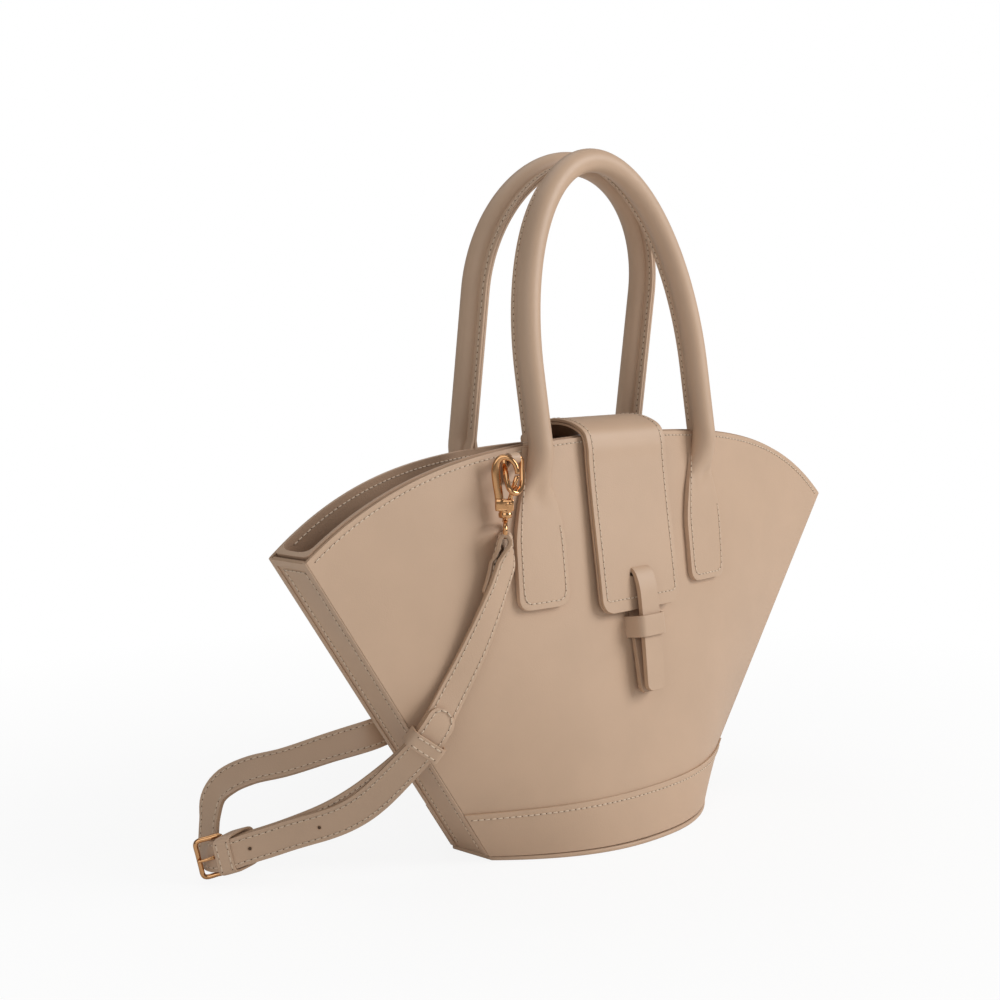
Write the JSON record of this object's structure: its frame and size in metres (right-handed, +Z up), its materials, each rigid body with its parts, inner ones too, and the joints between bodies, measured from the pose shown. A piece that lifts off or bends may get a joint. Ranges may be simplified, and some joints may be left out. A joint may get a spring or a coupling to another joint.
{
  "type": "crossbody bag",
  "caption": "Fan-shaped soft leather handbag with rolled top handles, a flap held by a tongue and keeper, and a buckled clip-on shoulder strap.",
  "frame": {"origin": "middle of the underside of the base", "axes": "+Z up, +X to the right as seen from the front, front faces -Y"},
  "size_m": [0.4132, 0.2011, 0.3538],
  "materials": {
    "tan_leather": "smooth taupe leather with tone-on-tone stitching",
    "lining_leather": "same leather, turned inside as the facing and lining",
    "gold_metal": "polished pale gold",
    "handle_filler": "twisted fibre cord",
    "stiffener_board": "plain board"
  },
  "bodies": {
    "bag": {"front_panel": "tan_leather", "back_panel": "tan_leather", "front_base_band": "tan_leather", "back_base_band": "tan_leather", "left_gusset": "tan_leather", "right_gusset": "tan_leather", "front_left_welt": "tan_leather", "back_left_welt": "tan_leather", "front_right_welt": "tan_leather", "back_right_welt": "tan_leather", "base_panel": "tan_leather", "base_welt": "tan_leather", "front_left_handle_tab": "tan_leather", "front_right_handle_tab": "tan_leather", "back_left_handle_tab": "tan_leather", "back_right_handle_tab": "tan_leather", "flap_root": "tan_leather", "closure_keeper": "tan_leather", "front_ring_tab": "tan_leather", "back_ring_tab": "tan_leather", "strap_buckle_piece": "tan_leather", "strap_long_piece": "tan_leather", "fixed_keeper": "tan_leather", "front_lining": "lining_leather", "back_lining": "lining_leather", "left_gusset_lining": "lining_leather", "right_gusset_lining": "lining_leather", "base_lining": "lining_leather", "front_hook_eye": "gold_metal", "back_hook_eye": "gold_metal", "buckle_frame": "gold_metal", "base_board": "stiffener_board"},
    "front_handle": {"front_handle_cover": "tan_leather", "front_handle_core": "handle_filler"},
    "back_handle": {"back_handle_cover": "tan_leather", "back_handle_core": "handle_filler"},
    "flap": {"flap_outer": "tan_leather", "flap_lining": "lining_leather", "closure_tongue": "tan_leather"},
    "front_ring": {"front_d_ring": "gold_metal"},
    "back_ring": {"back_d_ring": "gold_metal"},
    "front_hook": {"front_hook_body": "gold_metal", "front_hook_rivet": "gold_metal"},
    "front_gate": {"front_hook_gate": "gold_metal"},
    "back_hook": {"back_hook_body": "gold_metal", "back_hook_rivet": "gold_metal"},
    "back_gate": {"back_hook_gate": "gold_metal"},
    "prong": {"buckle_prong": "gold_metal"},
    "strap_slider": {"sliding_keeper": "tan_leather"}
  },
  "joints": [
    {"name": "front_handle_swing", "type": "hinge", "parent": "bag", "child": "front_handle", "pos_m": [0, -0.0282, 0.203], "axis": [1, 0, 0], "range_deg": [0, 75]},
    {"name": "back_handle_swing", "type": "hinge", "parent": "bag", "child": "back_handle", "pos_m": [0, 0.0282, 0.203], "axis": [-1, 0, 0], "range_deg": [0, 75]},
    {"name": "flap_open", "type": "hinge", "parent": "bag", "child": "flap", "pos_m": [0, 0.0266, 0.2055], "axis": [-1, 0, 0], "range_deg": [0, 165], "deforming": ["closure_tongue"]},
    {"name": "front_ring_swing", "type": "hinge", "parent": "bag", "child": "front_ring", "pos_m": [-0.085, -0.0263, 0.2015], "axis": [-1, 0, 0], "range_deg": [-2, 2]},
    {"name": "back_ring_swing", "type": "hinge", "parent": "bag", "child": "back_ring", "pos_m": [0.085, 0.0263, 0.2015], "axis": [1, 0, 0], "range_deg": [-2, 2]},
    {"name": "front_hook_swivel", "type": "hinge", "parent": "bag", "child": "front_hook", "pos_m": [-0.0946, -0.0306, 0.1806], "axis": [0, 0, 1], "range_deg": [-4, 4]},
    {"name": "back_hook_swivel", "type": "hinge", "parent": "bag", "child": "back_hook", "pos_m": [0.0946, 0.0306, 0.1806], "axis": [0, 0, 1], "range_deg": [-4, 4]},
    {"name": "front_gate_open", "type": "hinge", "parent": "front_hook", "child": "front_gate", "pos_m": [-0.09357, -0.03169, 0.1806], "axis": [-0.7266, -0.6871, 0], "range_deg": [0, 9], "stiffness_Nm_per_rad": 0.005},
    {"name": "back_gate_open", "type": "hinge", "parent": "back_hook", "child": "back_gate", "pos_m": [0.09357, 0.03169, 0.1806], "axis": [0.7266, 0.6871, 0], "range_deg": [0, 9], "stiffness_Nm_per_rad": 0.005},
    {"name": "buckle_prong_lift", "type": "hinge", "parent": "bag", "child": "prong", "pos_m": [-0.196, 0.0575, 0.0142], "axis": [-0.1787, 0.1266, 0.9757], "range_deg": [0, 16]},
    {"name": "sliding_keeper_shift", "type": "slide", "parent": "bag", "child": "strap_slider", "axis": [0.4237, -0.4395, 0.792], "range_m": [-0.002, 0.002]}
  ]
}
